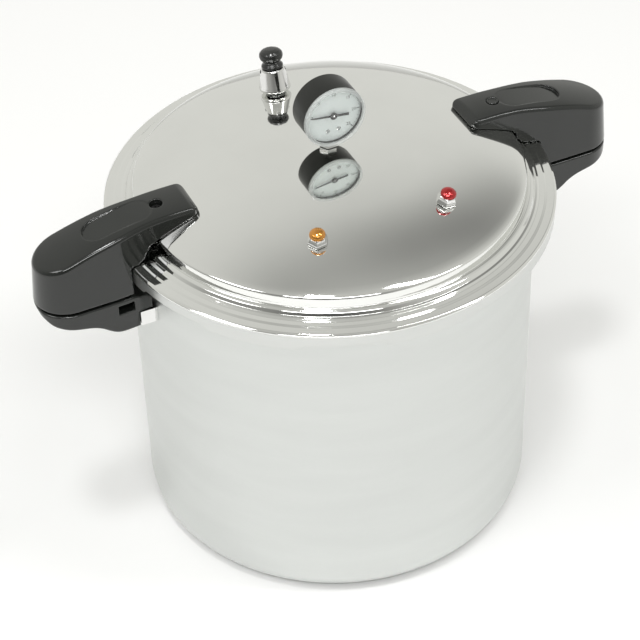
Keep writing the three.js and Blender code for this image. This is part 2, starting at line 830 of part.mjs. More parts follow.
function gaugeAssembly() {
  const { height, radius, back, front, wall } = GAUGE;
  const gauge = new THREE.Group();
  gauge.position.z = height;
  gauge.rotation.x = Math.PI / 2;
  lid.add(gauge);

  const cup = turned(
    [
      [0, back],
      [radius - 1, back],
      [radius, back + 1],
      [radius, front],
      [radius - wall, front],
      [radius - wall, back + wall],
      [0, back + wall],
    ],
    32,
  );
  const neckHole = rod(SOCKET.neck + 0.5, -32, -18).rotateX(-Math.PI / 2);
  part(gauge, "gauge_case", cut(cup, neckHole), BLACK);
  const lens = turned(
    [
      [0, front + 1.7],
      [23.2, front + 1.7],
      [23.2, front + GAP],
      [25.4, front + GAP],
      [25.4, front + 2.5],
      [24.9, front + 3],
      [0, front + 3],
    ],
    32,
  );
  part(gauge, "gauge_lens", lens, CLEAR);
  part(gauge, "bourdon_tube", sector(17.2, 19.4, -7.6, -2.6, 57, 250, 20), BRASS);
  gaugeMovement(gauge);

  const bottom = height - radius;
  const stem = join(
    hexagon(SOCKET.flats, DOME.top + seatGap, bottom - 2.4),
    rod(SOCKET.neck, bottom - 3, bottom + 3.4),
    block([-6, 6], [-3, 7.8], [bottom + 3, bottom + 9.3]),
    rod(SOCKET.shank, DOME.top - 15, DOME.top + 5),
  );
  part(lid, "gauge_socket", stem, BRASS);
  const nut = hexNut(17, SOCKET.shank + GAP, 7);
  part(lid, "gauge_nut", nut.translate(0, 0, DOME.top), STEEL);
}

// ---- Assembly ----
const canner = new THREE.Group();
canner.name = "pressure_canner";
const lid = new THREE.Group();
canner.add(lid);

part(canner, "pot_body", potBody(), SATIN);
part(canner, "canning_rack", rackPlate(), SATIN);
part(lid, "lid_gasket", gasket(), RUBBER);
part(lid, "lid_shell", lidShell(), POLISHED);

for (const [side, angle] of [["right", 0], ["left", Math.PI]]) {
  const half = new THREE.Group();
  half.rotation.z = angle;
  canner.add(half);
  part(half, `pot_handle_bracket_${side}`, bracket(), POLISHED);
  part(half, `pot_handle_${side}`, potHandle(), PHENOLIC);
  const potScrew = part(half, `pot_handle_screw_${side}`, screw(4.8, 3, 2.5, 6), STEEL);
  potScrew.rotation.x = Math.PI;
  potScrew.position.set(BRACKET_TONGUE.screw, 0, HANDLE_SCREWS.potSeat - GAP);
  for (const [place, y] of [["front", -RIVET.y], ["rear", RIVET.y]]) {
    const made = part(half, `bracket_rivet_${side}_${place}`, rivet(), SATIN);
    made.position.set(0, y, RIVET.z);
  }
  part(half, `lid_handle_${side}`, lidHandle(), PHENOLIC);
  part(half, `lid_handle_stud_${side}`, handleStud(), STEEL);
  const lidScrew = part(half, `lid_handle_screw_${side}`, screw(4.6, 3, 2.5, 6.5), STEEL);
  lidScrew.position.set(HANDLE.screw, 0, HANDLE_SCREWS.lidSeat + GAP);
}

// The right handle's screw is covered by a push-in plug. The left one is left open.
const plugLow = HANDLE_SCREWS.lidSeat + 4;
const plug = turned(
  [[0, plugLow], [4.6, plugLow], [4.6, 327.9], [4, 328.3], [3.3, 328.3], [3, 327.8], [0, 327.8]],
  20,
);
part(lid, "lid_handle_plug", plug, PHENOLIC).position.x = HANDLE.screw;

ventAndRegulator();
indicator();
safetyValve();
gaugeAssembly();

export default canner;
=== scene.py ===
import math

import bpy
import numpy as np
from mathutils import Matrix, Vector


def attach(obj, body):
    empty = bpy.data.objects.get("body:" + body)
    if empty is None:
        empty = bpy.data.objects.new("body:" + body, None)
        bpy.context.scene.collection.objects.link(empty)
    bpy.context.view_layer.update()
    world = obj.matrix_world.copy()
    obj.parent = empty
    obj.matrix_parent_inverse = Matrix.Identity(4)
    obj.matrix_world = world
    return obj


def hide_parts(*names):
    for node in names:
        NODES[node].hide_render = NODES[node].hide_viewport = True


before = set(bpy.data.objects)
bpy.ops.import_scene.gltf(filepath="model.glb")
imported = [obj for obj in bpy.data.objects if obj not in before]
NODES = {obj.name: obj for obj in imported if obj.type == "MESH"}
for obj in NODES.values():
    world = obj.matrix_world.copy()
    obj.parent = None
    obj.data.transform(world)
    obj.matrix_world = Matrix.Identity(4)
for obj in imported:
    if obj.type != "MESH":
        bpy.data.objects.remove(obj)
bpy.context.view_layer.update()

MM = 0.001

# ---- Main dimensions, in millimetres and degrees, close to the parts' own ----
DOME_TOP = 334.0
DOME_CROWN = 620.0
DOME_SHOULDER = 280.0
DOME_JOIN = 75.0
LID_WALL = 3.5
SKIRT_RADIUS = 176.5
SKIRT_INNER = 173.2
SKIRT_FOOT = 281.5
POT_RADIUS = 160.0
POT_INNER = 156.5
POT_FLOOR = 4.5
POT_RIM = 288.0
LUGS = 8
LID_LUG_HALF_ANGLE = 12.9
LID_LUG_FADE = 1.4
LID_LUG_REACH = 9.8
LID_LUG_DROP = 3.5
POT_LUG_HALF_ANGLE = 9.3
POT_LUG_FADE = 0.8
POT_LUG_REACH = 11.5
GAUGE_HEIGHT = 367.1
VENT_PLACE = (93.0, 91.5)
INDICATOR_PLACE = (107.0, -60.6)
SAFETY_PLACE = (107.0, -119.9)
PARTING = 269.6
HANDLE_INNER = 115.0
HANDLE_OUTER = 246.2
HANDLE_SCREW = 143.4
POT_HANDLE_SCREW = 191.0
HANDLE_HALF = 25.9
HANDLE_NARROW = 22.9
HANDLE_CORNER = 8.0
DRAFT = 0.08
HANDLE_TOP = 328.0
DROOP_START = 132.0
DROOP_RADIUS = 262.0
CROSS_RADIUS = 110.0
LID_SCREW_SEAT = 320.3
STUD_RECESS_TOP = 317.6
SCOOP_MIDDLE = 175.5
SCOOP_REACH = 15.5
SCOOP_RADIUS = 12.0
DIAL_FRONT = 9.4
DIAL_RADIUS = 23.4
SCALE_RADIUS = 22.4
NUMERAL_RADIUS = 17.6
NUMERAL_SIZE = 3.7
LID_SIDES = 360
POT_SIDES = 360

# The dome is a shallow crown arc that runs, tangent, into a tighter shoulder arc.
CROWN_TURN = math.asin(DOME_JOIN / DOME_CROWN)
SHOULDER_RADIUS = (DOME_CROWN - DOME_SHOULDER) * math.sin(CROWN_TURN)
SHOULDER_HEIGHT = DOME_TOP - DOME_CROWN + (DOME_CROWN - DOME_SHOULDER) * math.cos(CROWN_TURN)


def dome_height(r, inward=0.0):
    """Height of the dome's outside at a radius, or of a surface that lies inward of it."""
    crown_arc = DOME_CROWN - inward
    if r <= crown_arc * math.sin(CROWN_TURN):
        return DOME_TOP - DOME_CROWN + math.sqrt(crown_arc**2 - r * r)
    return SHOULDER_HEIGHT + math.sqrt((DOME_SHOULDER - inward) ** 2 - (r - SHOULDER_RADIUS) ** 2)


def dome_tilt(r):
    """The lean of the dome's outward normal from the vertical at a radius."""
    if r <= DOME_JOIN:
        return math.asin(r / DOME_CROWN)
    return math.asin((r - SHOULDER_RADIUS) / DOME_SHOULDER)


# ---- Mesh helpers ----
def mesh_object(name, points, faces, material, body, replaces=(), sharp=35):
    """A piece from points in millimetres, with its material, its body and the nodes it stands for."""
    mesh = bpy.data.meshes.new(name)
    mesh.from_pydata((np.asarray(points, float) * MM).tolist(), [], faces)
    mesh.validate()
    mesh.shade_smooth()
    if sharp:
        mesh.set_sharp_from_angle(angle=math.radians(sharp))
    made = bpy.data.objects.new(name, mesh)
    bpy.context.scene.collection.objects.link(made)
    for one in material if isinstance(material, (list, tuple)) else [material]:
        mesh.materials.append(one)
    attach(made, body)
    if replaces:
        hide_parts(*replaces)
    return made


def filleted(outline, steps=4, closed=False):
    """An outline of (u, v) or (u, v, fillet radius) corners, rounded where a radius is given."""
    out = []
    count = len(outline)
    for i, corner in enumerate(outline):
        here = np.array(corner[:2], float)
        radius = corner[2] if len(corner) > 2 else 0
        if not radius or (not closed and i in (0, count - 1)):
            out.append(here)
            continue
        before = np.array(outline[i - 1][:2], float) - here
        after = np.array(outline[(i + 1) % count][:2], float) - here
        la, lb = np.linalg.norm(before), np.linalg.norm(after)
        a, b = before / la, after / lb
        half = math.acos(max(-1.0, min(1.0, float(a @ b)))) / 2
        reach = min(radius / math.tan(half), 0.49 * la, 0.49 * lb)
        fit = reach * math.tan(half)
        middle = here + (a + b) / np.linalg.norm(a + b) * fit / math.sin(half)
        start, end = here + a * reach - middle, here + b * reach - middle
        sweep = math.atan2(start[0] * end[1] - start[1] * end[0], float(start @ end))
        for k in range(steps + 1):
            turn = sweep * k / steps
            c, s = math.cos(turn), math.sin(turn)
            out.append(middle + np.array([c * start[0] - s * start[1], s * start[0] + c * start[1]]))
    return np.array(out)


def curve_through(points, per_span):
    """Points on a smooth open curve through the given ones."""
    p = np.array(points, float)
    padded = np.vstack([2 * p[0] - p[1], p, 2 * p[-1] - p[-2]])
    out = []
    for i in range(len(p) - 1):
        a, b, c, d = padded[i : i + 4]
        for k in range(per_span):
            t = k / per_span
            out.append(
                0.5 * (2 * b + (c - a) * t + (2 * a - 5 * b + 4 * c - d) * t**2
                       + (3 * b - a - 3 * c + d) * t**3)
            )
    out.append(p[-1])
    return np.array(out)


def turned_mesh(profiles, closed=False):
    """Points and faces of a turned shape. profiles is one (n, 2) outline of radius and height for each
    side. An outline runs outwards along the top or inwards along the underside, and ends on the axis
    or closes on itself."""
    sides, count = len(profiles), len(profiles[0])
    angle = np.arange(sides) * 2 * math.pi / sides
    grid = np.empty((sides, count, 3))
    for i, outline in enumerate(profiles):
        grid[i, :, 0] = outline[:, 0] * math.cos(angle[i])
        grid[i, :, 1] = outline[:, 0] * math.sin(angle[i])
        grid[i, :, 2] = outline[:, 1]
    points = grid.reshape(-1, 3)
    faces = []
    poles = {k for k in (0, count - 1) if not closed and abs(profiles[0][k][0]) < 1e-9}
    for i in range(sides):
        j = (i + 1) % sides
        for k in range(count if closed else count - 1):
            n = (k + 1) % count
            a, b = i * count + k, j * count + k
            c, d = j * count + n, i * count + n
            if k in poles:
                faces.append((k, c, d))
            elif n in poles:
                faces.append((a, b, n))
            else:
                faces.append((a, b, c, d))
    used = sorted({v for f in faces for v in f})
    index = {v: i for i, v in enumerate(used)}
    return points[used], [tuple(index[v] for v in f) for f in faces]


def turned(name, outline, material, body, replaces=(), sides=96, closed=False, place=None,
           steps=4):
    """A turned piece from one outline, anticlockwise, moved by the place matrix, in millimetres."""
    shape = filleted(outline, steps, closed)
    points, faces = turned_mesh([shape] * sides, closed)
    if place is not None:
        points = moved(points, place)
    return mesh_object(name, points, faces, material, body, replaces)


def moved(points, place):
    """The points, carried by a placement matrix."""
    m = np.array(place)
    return np.asarray(points) @ m[:3, :3].T + m[:3, 3]


def dome_place(place):
    """The matrix of a fitting on the dome: origin on the surface, +Z along its outward normal."""
    radius, angle = place
    turn = Matrix.Rotation(math.radians(angle), 4, "Z")
    tilt = Matrix.Rotation(dome_tilt(radius), 4, "Y")
    lift = Matrix.Translation((radius, 0, dome_height(radius)))
    return turn @ lift @ tilt


GAUGE_PLACE = Matrix.Translation((0, 0, GAUGE_HEIGHT)) @ Matrix.Rotation(math.pi / 2, 4, "X")


# ---- Rounded solids, as signed distances in millimetres, negative inside ----
def polygon_distance(outline, u, v):
    """Signed distance from the points (u, v) to a closed outline."""
    best, inside = None, False
    ends = np.roll(outline, -1, axis=0)
    for (ax, ay), (bx, by) in zip(outline, ends):
        ex, ey = bx - ax, by - ay
        wx, wy = u - ax, v - ay
        t = np.clip((wx * ex + wy * ey) / (ex * ex + ey * ey), 0, 1)
        gap = (wx - ex * t) ** 2 + (wy - ey * t) ** 2
        best = gap if best is None else np.minimum(best, gap)
        if ay != by:
            crosses = ((ay <= v) != (by <= v)) & (u < ex * (v - ay) / (by - ay) + ax)
            inside = inside ^ crosses
    return np.where(inside, -1.0, 1.0) * np.sqrt(best)


def both(a, b, fillet):
    """What lies in both a and b, with the edge between them rounded."""
    u, v = np.maximum(a + fillet, 0), np.maximum(b + fillet, 0)
    return np.minimum(np.maximum(a, b), -fillet) + np.sqrt(u * u + v * v)


def without(a, b, fillet):
    """What lies in a but not in b, with the edge between them rounded."""
    return both(a, -b, fillet)


def box_distance(x, y, z, low, high):
    """Signed distance to an upright box; outside it, the largest of the gaps along the axes."""
    return np.maximum(
        np.maximum(np.abs(x - (low[0] + high[0]) / 2) - (high[0] - low[0]) / 2,
                   np.abs(y - (low[1] + high[1]) / 2) - (high[1] - low[1]) / 2),
        np.abs(z - (low[2] + high[2]) / 2) - (high[2] - low[2]) / 2,
    )


def surface(distance, low, high, step):
    """Quads on the zero level of a distance: one point in each cell that the surface crosses, drawn
    onto the surface, and one quad round each crossed edge."""
    axes = [np.arange(a, b + step, step) for a, b in zip(low, high)]
    field = np.broadcast_to(
        distance(axes[0][:, None, None], axes[1][None, :, None], axes[2][None, None, :]),
        [len(a) for a in axes],
    )
    inside = field < 0
    cells = [n - 1 for n in field.shape]
    total = np.zeros(cells + [3])
    crossings = np.zeros(cells)
    for axis in range(3):
        for p in (0, 1):
            for q in (0, 1):
                first = [slice(None)] * 3
                second = [slice(None)] * 3
                others = [k for k in range(3) if k != axis]
                first[axis], second[axis] = slice(0, -1), slice(1, None)
                for k, shift in zip(others, (p, q)):
                    first[k] = second[k] = slice(shift, shift + cells[k])
                f0, f1 = field[tuple(first)], field[tuple(second)]
                hit = (f0 < 0) != (f1 < 0)
                share = np.where(hit, f0 / np.where(hit, f0 - f1, 1), 0)
                crossings += hit
                total[..., axis] += np.where(hit, share, 0)
                for k, shift in zip(others, (p, q)):
                    total[..., k] += np.where(hit, shift, 0)
    active = crossings > 0
    number = np.full(cells, -1)
    number[active] = np.arange(int(active.sum()))
    where = np.argwhere(active)
    points = (where + total[active] / crossings[active][:, None]) * step + np.array(low)
    faces = []
    for axis in range(3):
        b, c = [(1, 2), (2, 0), (0, 1)][axis]
        first = [slice(None)] * 3
        second = [slice(None)] * 3
        first[axis], second[axis] = slice(0, -1), slice(1, None)
        for k in (b, c):
            first[k] = second[k] = slice(1, -1)
        i0, i1 = inside[tuple(first)], inside[tuple(second)]
        edges = np.argwhere(i0 != i1)
        outward = i0[tuple(edges.T)]
        base = edges.copy()
        base[:, b] += 1
        base[:, c] += 1
        ring = []
        for db, dc in ((-1, -1), (0, -1), (0, 0), (-1, 0)):
            corner = base.copy()
            corner[:, b] += db
            corner[:, c] += dc
            ring.append(number[tuple(corner.T)])
        quads = np.stack(ring, 1)
        quads[~outward] = quads[~outward][:, ::-1]
        faces += quads.tolist()
    return drawn_on(distance, points, step), faces


def drawn_on(distance, points, step):
    """The points, drawn onto the zero level of a distance along its slope."""
    e = 0.05
    for _ in range(4):
        x, y, z = points.T
        here = distance(x, y, z)
        slope = np.stack(
            [
                distance(x + e, y, z) - distance(x - e, y, z),
                distance(x, y + e, z) - distance(x, y - e, z),
                distance(x, y, z + e) - distance(x, y, z - e),
            ],
            1,
        ) / (2 * e)
        size = np.maximum((slope**2).sum(1), 0.2)
        points = points - np.clip(here / size, -step, step)[:, None] * slope
    return points


# ---- Materials: every one is worked out from noise in the part's own coordinates ----
def material(name, color, roughness, metallic=0.0, shade=0.06, spread=0.05, grain=900.0, bump=0.04,
             depth=0.0002, stretch=(1, 1, 1), mottle=60.0, specular=0.5, alpha=1.0, coat=0.0,
             wear=None):
    """Base colour mottled by slow noise, roughness varied by finer noise, and a fine bump whose grain
    can be stretched into brush lines. wear lightens or dulls the edges."""
    made = bpy.data.materials.new(name)
    made.use_nodes = True
    tree = made.node_tree
    node, link = tree.nodes.new, tree.links.new
    shader = tree.nodes["Principled BSDF"]
    shader.inputs["Metallic"].default_value = metallic
    shader.inputs["Specular IOR Level"].default_value = specular
    shader.inputs["Alpha"].default_value = alpha
    shader.inputs["Coat Weight"].default_value = coat
    shader.inputs["Coat Roughness"].default_value = 0.06
    place = node("ShaderNodeTexCoord")
    mapping = node("ShaderNodeMapping")
    mapping.inputs["Scale"].default_value = stretch
    link(place.outputs["Object"], mapping.inputs["Vector"])

    slow = node("ShaderNodeTexNoise")
    slow.inputs["Scale"].default_value = mottle
    slow.inputs["Detail"].default_value = 3
    link(mapping.outputs["Vector"], slow.inputs["Vector"])
    ramp = node("ShaderNodeMapRange")
    ramp.inputs["From Min"].default_value = 0.3
    ramp.inputs["From Max"].default_value = 0.7
    link(slow.outputs["Fac"], ramp.inputs["Value"])
    tint = node("ShaderNodeMix")
    tint.data_type = "RGBA"
    low = [max(0.0, c * (1 - shade)) for c in color]
    high = [min(1.0, c * (1 + shade)) for c in color]
    tint.inputs["A"].default_value = (*low, 1)
    tint.inputs["B"].default_value = (*high, 1)
    link(ramp.outputs["Result"], tint.inputs["Factor"])
    painted = tint.outputs["Result"]
    if wear:
        edge = node("ShaderNodeNewGeometry")
        point = node("ShaderNodeMapRange")
        point.inputs["From Min"].default_value = 0.52
        point.inputs["From Max"].default_value = 0.62
        point.inputs["To Max"].default_value = wear[1]
        link(edge.outputs["Pointiness"], point.inputs["Value"])
        worn = node("ShaderNodeMix")
        worn.data_type = "RGBA"
        worn.inputs["B"].default_value = (*wear[0], 1)
        link(point.outputs["Result"], worn.inputs["Factor"])
        link(painted, worn.inputs["A"])
        painted = worn.outputs["Result"]
    link(painted, shader.inputs["Base Color"])

    fine = node("ShaderNodeTexNoise")
    fine.inputs["Scale"].default_value = grain
    fine.inputs["Detail"].default_value = 4
    link(mapping.outputs["Vector"], fine.inputs["Vector"])
    rough = node("ShaderNodeMapRange")
    rough.inputs["From Min"].default_value = 0.25
    rough.inputs["From Max"].default_value = 0.75
    rough.inputs["To Min"].default_value = max(0.0, roughness - spread)
    rough.inputs["To Max"].default_value = roughness + spread
    link(fine.outputs["Fac"], rough.inputs["Value"])
    link(rough.outputs["Result"], shader.inputs["Roughness"])
    bumps = node("ShaderNodeBump")
    bumps.inputs["Strength"].default_value = bump
    bumps.inputs["Distance"].default_value = depth
    link(fine.outputs["Fac"], bumps.inputs["Height"])
    link(bumps.outputs["Normal"], shader.inputs["Normal"])
    return made


MIRROR_ALUMINIUM = material(
    "mirror_aluminium", (0.86, 0.865, 0.845), 0.05, 1.0, shade=0.015, spread=0.025, grain=420,
    bump=0.012, depth=0.0003, mottle=25,
)
SATIN_ALUMINIUM = material(
    "satin_aluminium", (0.675, 0.69, 0.675), 0.42, 1.0, shade=0.02, spread=0.05, grain=300,
    bump=0.05, stretch=(1, 1, 6), mottle=8,
)
SKIRT_ALUMINIUM = material(
    "skirt_aluminium", (0.66, 0.67, 0.655), 0.34, 1.0, shade=0.02, spread=0.05, grain=500,
    bump=0.04, stretch=(1, 1, 5), mottle=14,
)
INSIDE_ALUMINIUM = material(
    "inside_aluminium", (0.80, 0.81, 0.80), 0.36, 1.0, shade=0.04, spread=0.07, grain=380,
    bump=0.06, stretch=(1, 1, 8), mottle=12,
)
CHROME = material(
    "polished_steel", (0.80, 0.80, 0.79), 0.07, 1.0, shade=0.02, spread=0.03, grain=900, bump=0.02,
)
STEEL = material(
    "turned_steel", (0.56, 0.57, 0.57), 0.24, 1.0, shade=0.05, spread=0.07, grain=2500, bump=0.05,
    wear=((0.75, 0.75, 0.74), 0.6),
)
BRASS = material(
    "turned_brass", (0.70, 0.52, 0.24), 0.26, 1.0, shade=0.07, spread=0.07, grain=2500, bump=0.05,
)
PHENOLIC = material(
    "moulded_phenolic", (0.012, 0.0135, 0.012), 0.10, shade=0.10, spread=0.04, grain=1500,
    bump=0.035, depth=0.00012, mottle=45, specular=0.62, wear=((0.05, 0.052, 0.05), 0.5),
)
CASE_BLACK = material(
    "satin_black_paint", (0.017, 0.018, 0.016), 0.33, shade=0.08, spread=0.06, grain=3500,
    bump=0.05, depth=0.00008, mottle=90, specular=0.3,
)
KNOB_BLACK = material(
    "moulded_black", (0.016, 0.017, 0.016), 0.2, shade=0.10, spread=0.05, grain=1800, bump=0.05,
    specular=0.6,
)
RUBBER = material(
    "black_rubber", (0.018, 0.018, 0.018), 0.62, shade=0.15, spread=0.08, grain=1600, bump=0.12,
)
SILICONE = material(
    "pale_silicone", (0.55, 0.53, 0.47), 0.5, shade=0.05, spread=0.06, grain=1500, bump=0.06,
)
DIAL = material(
    "dial_enamel", (0.73, 0.79, 0.775), 0.4, shade=0.02, spread=0.05, grain=1500, bump=0.03,
)
INK = material(
    "dial_ink", (0.010, 0.012, 0.012), 0.45, shade=0.15, spread=0.05, grain=2500, bump=0.03,
)
# The gauge pointer's own black, also used as painted shade in the steam holes and the lid handles' screw
# bores
BLACK_AND_PAINTED_SHADE = material(
    "pointer_black", (0.012, 0.012, 0.012), 0.35, shade=0.15, spread=0.06, grain=2500, bump=0.03,
)
RED = material(
    "red_lacquer", (0.40, 0.012, 0.014), 0.16, 0.55, shade=0.12, spread=0.05, grain=1500,
    bump=0.04, coat=0.6,
)
ORANGE = material(
    "orange_lacquer", (0.62, 0.27, 0.045), 0.17, 0.75, shade=0.12, spread=0.05, grain=1500,
    bump=0.04, coat=0.6,
)
LENS = material(
    "clear_lens", (0.95, 0.97, 0.97), 0.05, shade=0.01, spread=0.02, grain=500, bump=0.01,
    alpha=0.06, specular=0.9,
)
LENS_RING = material(
    "lens_ring", (0.72, 0.75, 0.74), 0.14, shade=0.05, spread=0.05, grain=700, bump=0.02,
    alpha=0.4, specular=0.9,
)


# ---- Lid: mirror-polished dome and stepped rim over a satin skirt with eight lugs ----
# The rim's top from the dome outwards: radius, height and the rounding of each corner
RIM = [
    (152.6, 307.9, 2.6),
    (153.5, 302.2, 1.0),
    (153.9, 299.6, 0.7),
    (155.4, 300.1, 1.6),
    (157.8, 298.6, 2.4),
    (159.3, 296.2, 0.8),
    (161.0, 295.7, 0.9),
    (162.9, 294.4, 0.7),
    (167.0, 294.2, 0.7),
    (168.6, 293.3, 0.7),
    (174.4, 293.0, 1.6),
    (176.3, 291.6, 0.9),
    (176.1, 290.6, 0.5),
]


def smooth(t):
    """From 0 to 1 with a soft start and a soft end."""
    return t * t * (3 - 2 * t)


def lug_share(angle, half_angle, fade):
    """How far an angle in degrees lies on a lug: 1 on a lug, 0 in a gap, and in between at its ends."""
    pitch = 360 / LUGS
    off = abs((angle + pitch / 2) % pitch - pitch / 2)
    return smooth(min(1.0, max(0.0, (half_angle - off) / fade)))


def lid_outline(share):
    """The lid's section from the axis inside, round the skirt's foot, and back over the top."""
    inner = SKIRT_INNER - LID_LUG_REACH * share
    foot = SKIRT_FOOT - LID_LUG_DROP * share
    under = [(r, dome_height(r, LID_WALL)) for r in range(0, 145, 8)]
    rib = [
        (146.8, 305.0, 3.0),
        (148.0, 299.0, 1.0),
        (148.0, 290.5, 0.5),
        (149.7, 290.5, 0.5),
        (149.7, 296.2, 0.5),
        (155.8, 296.0, 1.0),
        (159.4, 293.2, 0.8),
        (161.2, 290.4, 1.0),
        (172.0, 289.8, 1.5),
        (SKIRT_INNER, 285.0),
        (SKIRT_INNER - 0.05, 282.2),
        (inner + 0.02, 282.0, 0.3),
        (inner, foot + 0.1, 0.7),
        (175.7, foot, 0.7),
        (175.7, 289.8, 0.4),
    ]
    top = [(r, dome_height(r)) for r in list(range(148, 0, -4)) + [0]]
    return filleted(under + rib + RIM[::-1] + top)


shares = [
    lug_share(i * 360 / LID_SIDES, LID_LUG_HALF_ANGLE, LID_LUG_FADE) for i in range(LID_SIDES)
]
outlines = {share: lid_outline(share) for share in set(shares)}
lid_points, lid_faces = turned_mesh([outlines[share] for share in shares])
lid = mesh_object(
    "lid", lid_points, lid_faces, [MIRROR_ALUMINIUM, SKIRT_ALUMINIUM, INSIDE_ALUMINIUM], "lid",
    ["lid_shell"], sharp=0,
)
# The skirt's outside is satin and the underside duller; the dome and the rim stay polished
for polygon in lid.data.polygons:
    centre = polygon.center / MM
    radius = math.hypot(centre.x, centre.y)
    if radius > 174.5 and centre.z < 290.4:
        polygon.material_index = 1
    elif polygon.normal.z < -0.2 or (radius < 173.4 and centre.z < 290):
        polygon.material_index = 2

turned("gasket", [(151.5, 288.3, 0.5), (158.8, 288.3, 0.6), (158.6, 292.6, 1), (155.2, 295.4, 0.6),
                  (150.5, 295.4, 0.5), (150.5, 291.5, 0.5)],
       RUBBER, "gasket", ["lid_gasket"], sides=256, closed=True)


# ---- Pot: drawn wall with a rounded foot, plain rim and eight lugs ----
def pot_outline(angle):
    """The pot's section at an angle, from the axis below, up the wall, and back along the inside."""
    reach = POT_RADIUS + POT_LUG_REACH * lug_share(angle, POT_LUG_HALF_ANGLE, POT_LUG_FADE)
    return filleted(
        [
            (0, 0),
            (60, 0),
            (120, 0),
            (POT_RADIUS, 0, 20),
            (POT_RADIUS, 60),
            (POT_RADIUS, 120),
            (POT_RADIUS, 180),
            (POT_RADIUS, 240),
            (POT_RADIUS, 282.7, 0.4),
            (reach + 0.05, 282.9, 0.7),
            (reach, 287.1, 0.7),
            (POT_RADIUS - 0.4, 287.1, 0.4),
            (POT_RADIUS - 0.5, POT_RIM, 0.3),
            (POT_INNER, POT_RIM, 0.9),
            (POT_INNER, 240),
            (POT_INNER, 120),
            (POT_INNER, POT_FLOOR, 16.5),
            (120, POT_FLOOR),
            (60, POT_FLOOR),
            (0, POT_FLOOR),
        ],
        steps=7,
    )


pot_points, pot_faces = turned_mesh([pot_outline(i * 360 / POT_SIDES) for i in range(POT_SIDES)])
pot = mesh_object(
    "pot", pot_points, pot_faces, [SATIN_ALUMINIUM, INSIDE_ALUMINIUM], "pot",
    ["pot_body"], sharp=50,
)
for polygon in pot.data.polygons:
    centre = polygon.center / MM
    if math.hypot(centre.x, centre.y) < POT_INNER + 1 and centre.z > POT_FLOOR - 0.5:
        polygon.material_index = 1


# ---- Handles ----
TIP = HANDLE_OUTER - 0.1 - HANDLE_HALF


def handle_outline():
    """The handles' shared plan: a round outer end, nearly straight flanks and a blunt inner end."""
    middle = HANDLE_INNER + 0.1 + HANDLE_CORNER
    flank = HANDLE_NARROW - HANDLE_CORNER
    nose = [
        (middle - HANDLE_CORNER * math.sin(a), flank + HANDLE_CORNER * math.cos(a))
        for a in np.linspace(math.pi / 2, 0, 9)
    ]
    side = [
        (150 + 40 * t, HANDLE_NARROW + (HANDLE_HALF - HANDLE_NARROW) * smooth(t))
        for t in np.linspace(0, 1, 9)
    ]
    end = [
        (TIP + HANDLE_HALF * math.sin(a), HANDLE_HALF * math.cos(a))
        for a in np.linspace(0, math.pi, 41)
    ]
    mirrored = [(x, -y) for x, y in (nose + side)[::-1]]
    return np.array(nose + side + end + mirrored)


PLAN = handle_outline()


def plan_distance(x, y, z, draft):
    """Distance to the handle's upright wall, which leans inwards by the draft above the parting line."""
    share = 1 - draft * (z - PARTING) / HANDLE_HALF
    along = np.where(x > TIP, TIP + (x - TIP) / share, x)
    return polygon_distance(PLAN, along, y / share) * share


def lid_handle_top(x, y):
    """Height of the lid handle's top, which droops outwards and is rounded from side to side."""
    droop = np.maximum(0, x - DROOP_START) ** 2 / (2 * DROOP_RADIUS)
    return HANDLE_TOP - droop - y**2 / (2 * CROSS_RADIUS)


# The lid handle in side view, and the section of the lid that it is cut to fit
LID_SIDE = filleted(
    [
        (155, PARTING),
        (155, 305.3),
        (128, 314.8),
        (118, 316.2, 2),
        (115.2, 318.8, 1.5),
        (115.2, 323, 3),
        (119.5, 327.6, 3),
        (124, 345),
        (260, 345),
        (260, PARTING),
    ],
    closed=True,
)
LID_ENVELOPE = filleted(
    [(100, 255), (SKIRT_RADIUS + 0.7, 255)]
    + [(r + 0.7, z + 0.5, 0.8) for r, z, _ in RIM[::-1]]
    + [(r, dome_height(r) + 0.3) for r in (147.5, 142, 136, 130, 124, 118, 112, 106, 100)],
    closed=True,
)

# The lower edge of the neck's front flank, as an area cut away in side view
NECK_NOTCH = np.array(
    [(146, 255), (146, 309.4), (151, 309.4), (158, 305.6), (163.5, 297), (173.5, 290), (173.5, 255)]
)


def lid_handle_distance(x, y, z):
    """The right lid handle: grip and neck, cut for the lid, a thumb scoop, its screw and its stud."""
    made = both(plan_distance(x, y, z, DRAFT), polygon_distance(LID_SIDE, x, z), 0.8)
    slope = np.maximum(0, x - DROOP_START) / DROOP_RADIUS
    top = (z - lid_handle_top(x, y)) / np.sqrt(1 + slope**2 + (y / CROSS_RADIUS) ** 2)
    made = both(made, top, 2.8)
    radius = np.sqrt(x * x + y * y)
    made = without(made, polygon_distance(LID_ENVELOPE, radius, z), 0.6)
    made = without(made, np.maximum(polygon_distance(NECK_NOTCH, x, z), 13 - y), 0.8)
    beyond = np.maximum(np.abs(x - SCOOP_MIDDLE) - SCOOP_REACH, 0)
    scoop = np.sqrt(beyond**2 + y**2) - SCOOP_RADIUS
    floor = lid_handle_top(x, 0) - 0.5 - 1.9 * np.clip((x - 152) / 46, 0, 1)
    made = without(made, np.maximum(scoop, floor - z), 0.55)
    bore = np.sqrt((x - HANDLE_SCREW) ** 2 + y**2)
    made = without(made, np.maximum(bore - 5, LID_SCREW_SEAT - z), 0.9)
    return without(made, np.maximum(bore - 8.4, z - STUD_RECESS_TOP), 0.3)


# The pot handle in side view: a waved underside below a flat top
WAVE = curve_through(
    [(172.3, 236.9), (184, 237.0), (191, 237.9), (197, 241.2), (203, 245.8), (210, 249.2),
     (221, 252.0), (231, 254), (239, 256.6), (244.4, 261.6)],
    3,
)
POT_SIDE = np.vstack(
    [WAVE, [(245.6, 265.4), (244, 266.8), (177, 266.8), (166, 264.6), (161, 261.2), (161, 250.1),
            (172.3, 250.1)]]
)


